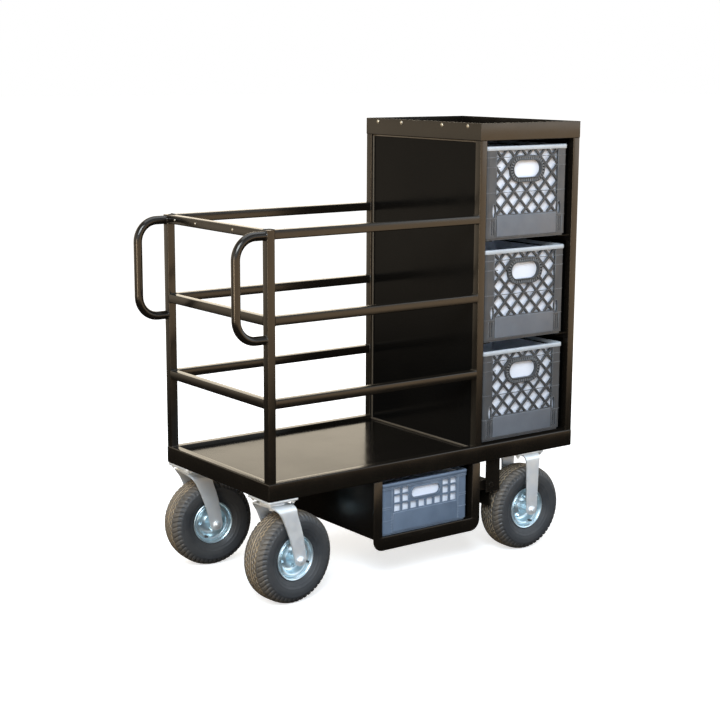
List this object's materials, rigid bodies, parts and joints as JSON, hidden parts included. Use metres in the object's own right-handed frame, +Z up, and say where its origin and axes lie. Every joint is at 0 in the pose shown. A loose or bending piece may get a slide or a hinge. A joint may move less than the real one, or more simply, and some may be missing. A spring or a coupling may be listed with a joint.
{
  "type": "equipment cart",
  "caption": "Steel push cart: a railed platform with two D handles, a tall cabinet of slide-out crates, a low crate bay and pneumatic casters.",
  "frame": {"origin": "on the floor, under the middle of the whole cart", "axes": "+X from the handle end to the cabinet end, +Y from the crate side to the back, +Z up"},
  "size_m": [1.26, 0.5876, 1.346],
  "materials": {
    "frame": "black powder coat, semi-gloss",
    "sheet": "black painted sheet, gloss",
    "zinc": "bright zinc plate",
    "rim": "blue zinc plate",
    "tyre": "matt black rubber",
    "crate": "moulded grey polyethylene",
    "bay_crate": "moulded blue-grey polyethylene"
  },
  "bodies": {
    "cart": {"base_tube_near": "frame", "base_tube_far": "frame", "base_tube_left": "frame", "base_tube_right": "frame", "cross_member_left": "frame", "cross_member_middle": "frame", "cross_member_cabinet": "frame", "cross_member_right": "frame", "platform_deck": "sheet", "corner_post_near": "frame", "corner_post_far": "frame", "low_rail_near": "frame", "low_rail_far": "frame", "low_rail_end": "frame", "mid_rail_near": "frame", "mid_rail_far": "frame", "mid_rail_end": "frame", "top_rail_near": "frame", "top_rail_far": "frame", "top_rail_end": "frame", "push_handle_near": "frame", "push_handle_far": "frame", "cabinet_post_near_left": "frame", "cabinet_post_near_right": "frame", "cabinet_post_far_left": "frame", "cabinet_post_far_right": "frame", "cabinet_top_band": "frame", "cabinet_panel_left": "sheet", "cabinet_panel_right": "sheet", "cabinet_panel_back": "sheet", "cabinet_top_tray": "sheet", "crate_shelf_upper": "sheet", "crate_shelf_middle": "sheet", "cabinet_floor": "sheet", "bay_box": "sheet", "bay_front_frame": "frame", "brake_bracket": "frame", "caster_plate_left_near": "zinc", "fork_right_near": "zinc", "axle_right_near": "zinc", "caster_plate_left_far": "zinc", "fork_right_far": "zinc", "axle_right_far": "zinc"},
    "swivel_left_near": {"fork_left_near": "zinc", "axle_left_near": "zinc"},
    "wheel_left_near": {"rim_left_near": "rim", "tyre_left_near": "tyre"},
    "wheel_right_near": {"rim_right_near": "rim", "tyre_right_near": "tyre"},
    "swivel_left_far": {"fork_left_far": "zinc", "axle_left_far": "zinc"},
    "wheel_left_far": {"rim_left_far": "rim", "tyre_left_far": "tyre"},
    "wheel_right_far": {"rim_right_far": "rim", "tyre_right_far": "tyre"},
    "crate_upper_body": {"crate_upper": "crate"},
    "crate_middle_body": {"crate_middle": "crate"},
    "crate_lower_body": {"crate_lower": "crate"},
    "bay_crate_body": {"bay_crate": "bay_crate"},
    "brake": {"brake_bar": "frame"}
  },
  "joints": [
    {"name": "swivel_left_near_turn", "type": "hinge", "parent": "cart", "child": "swivel_left_near", "pos_m": [-0.473, -0.223, 0.3], "axis": [0, 0, 1], "continuous": true},
    {"name": "wheel_left_near_spin", "type": "hinge", "parent": "swivel_left_near", "child": "wheel_left_near", "pos_m": [-0.4212, -0.21847, 0.135], "axis": [-0.0872, 0.9962, 0], "continuous": true},
    {"name": "wheel_right_near_spin", "type": "hinge", "parent": "cart", "child": "wheel_right_near", "pos_m": [0.465, -0.223, 0.135], "axis": [0, 1, 0], "continuous": true},
    {"name": "swivel_left_far_turn", "type": "hinge", "parent": "cart", "child": "swivel_left_far", "pos_m": [-0.473, 0.223, 0.3], "axis": [0, 0, 1], "continuous": true},
    {"name": "wheel_left_far_spin", "type": "hinge", "parent": "swivel_left_far", "child": "wheel_left_far", "pos_m": [-0.4212, 0.21847, 0.135], "axis": [0.0872, 0.9962, 0], "continuous": true},
    {"name": "wheel_right_far_spin", "type": "hinge", "parent": "cart", "child": "wheel_right_far", "pos_m": [0.465, 0.223, 0.135], "axis": [0, 1, 0], "continuous": true},
    {"name": "crate_upper_slide", "type": "slide", "parent": "cart", "child": "crate_upper_body", "axis": [0, -1, 0], "range_m": [0, 0.36]},
    {"name": "crate_middle_slide", "type": "slide", "parent": "cart", "child": "crate_middle_body", "axis": [0, -1, 0], "range_m": [0, 0.36]},
    {"name": "crate_lower_slide", "type": "slide", "parent": "cart", "child": "crate_lower_body", "axis": [0, -1, 0], "range_m": [0, 0.36]},
    {"name": "bay_crate_slide", "type": "slide", "parent": "cart", "child": "bay_crate_body", "axis": [0, -1, 0], "range_m": [0, 0.36]},
    {"name": "brake_press", "type": "hinge", "parent": "cart", "child": "brake", "pos_m": [0.311, 0, 0.236], "axis": [0, -1, 0], "range_deg": [0, 10.5], "stiffness_Nm_per_rad": 2, "springref_deg": -5.73}
  ]
}
